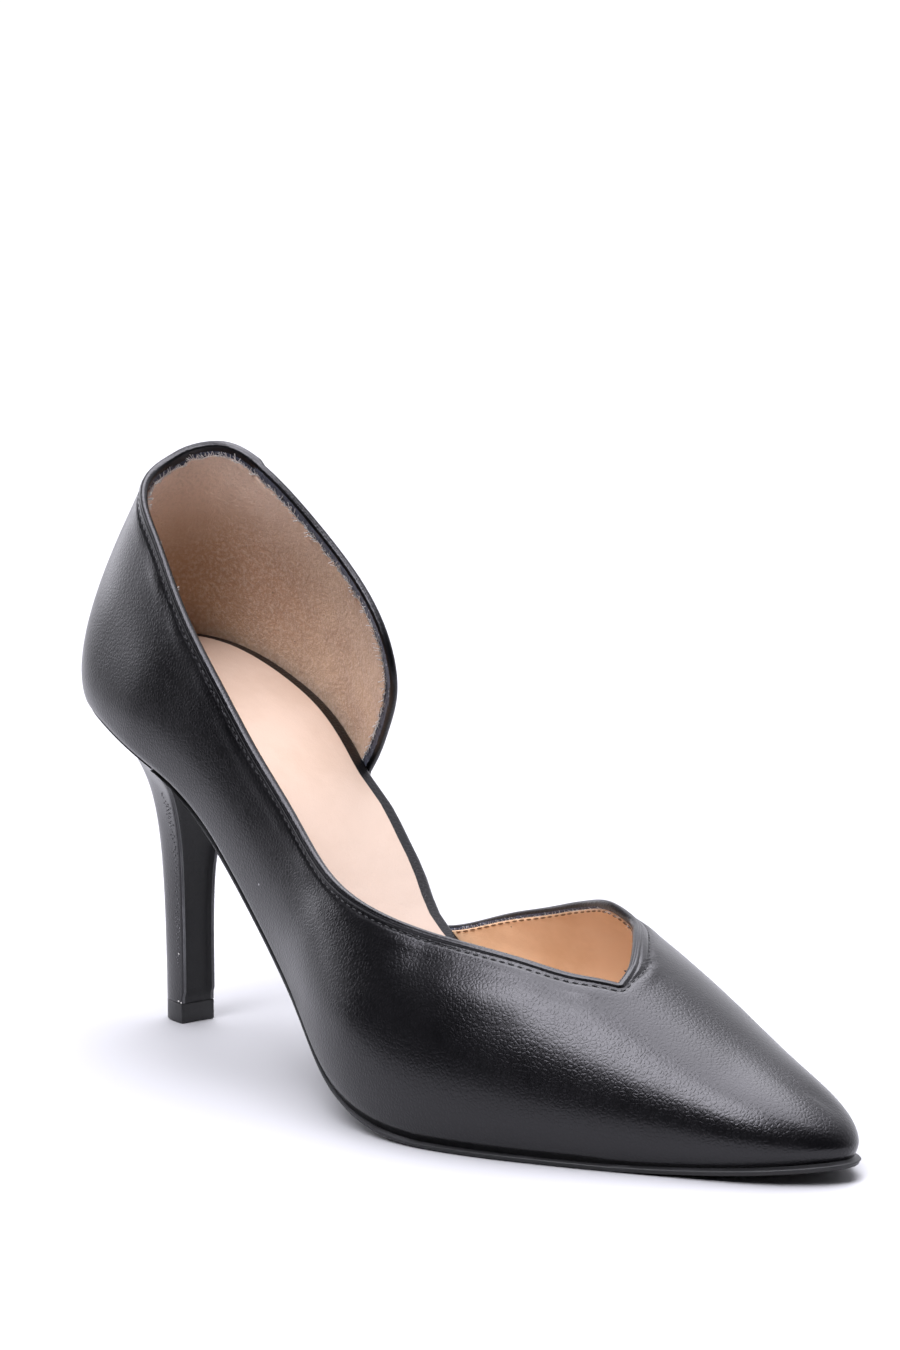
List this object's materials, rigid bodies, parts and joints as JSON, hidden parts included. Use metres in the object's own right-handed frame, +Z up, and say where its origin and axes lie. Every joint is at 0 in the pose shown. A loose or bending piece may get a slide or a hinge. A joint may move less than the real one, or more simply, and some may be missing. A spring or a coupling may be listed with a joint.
{
  "type": "stiletto heel shoe",
  "caption": "Pointed-toe stiletto pump with a V throat, closed outer side, open inner-side arch, slim wrapped heel and pale sock lining.",
  "frame": {"origin": "centre of the shoe's box, on the floor", "axes": "+X from heel to toe, +Y to the inner side of the foot, +Z up"},
  "size_m": [0.2196, 0.0758, 0.1288],
  "materials": {
    "upper_leather": "black fine-grained leather, semi-gloss",
    "board_wrap": "black thin leather wrap, satin",
    "sock_leather": "pale pinkish beige, matt",
    "outsole_sheet": "black sheet, satin",
    "heel_wrap": "black leather wrap, semi-gloss",
    "top_piece_rubber": "black hard rubber, matt"
  },
  "bodies": {
    "root": {"upper": "upper_leather", "insole_board": "board_wrap", "sock": "sock_leather", "outsole": "outsole_sheet", "heel": "heel_wrap", "top_piece": "top_piece_rubber"}
  },
  "joints": []
}
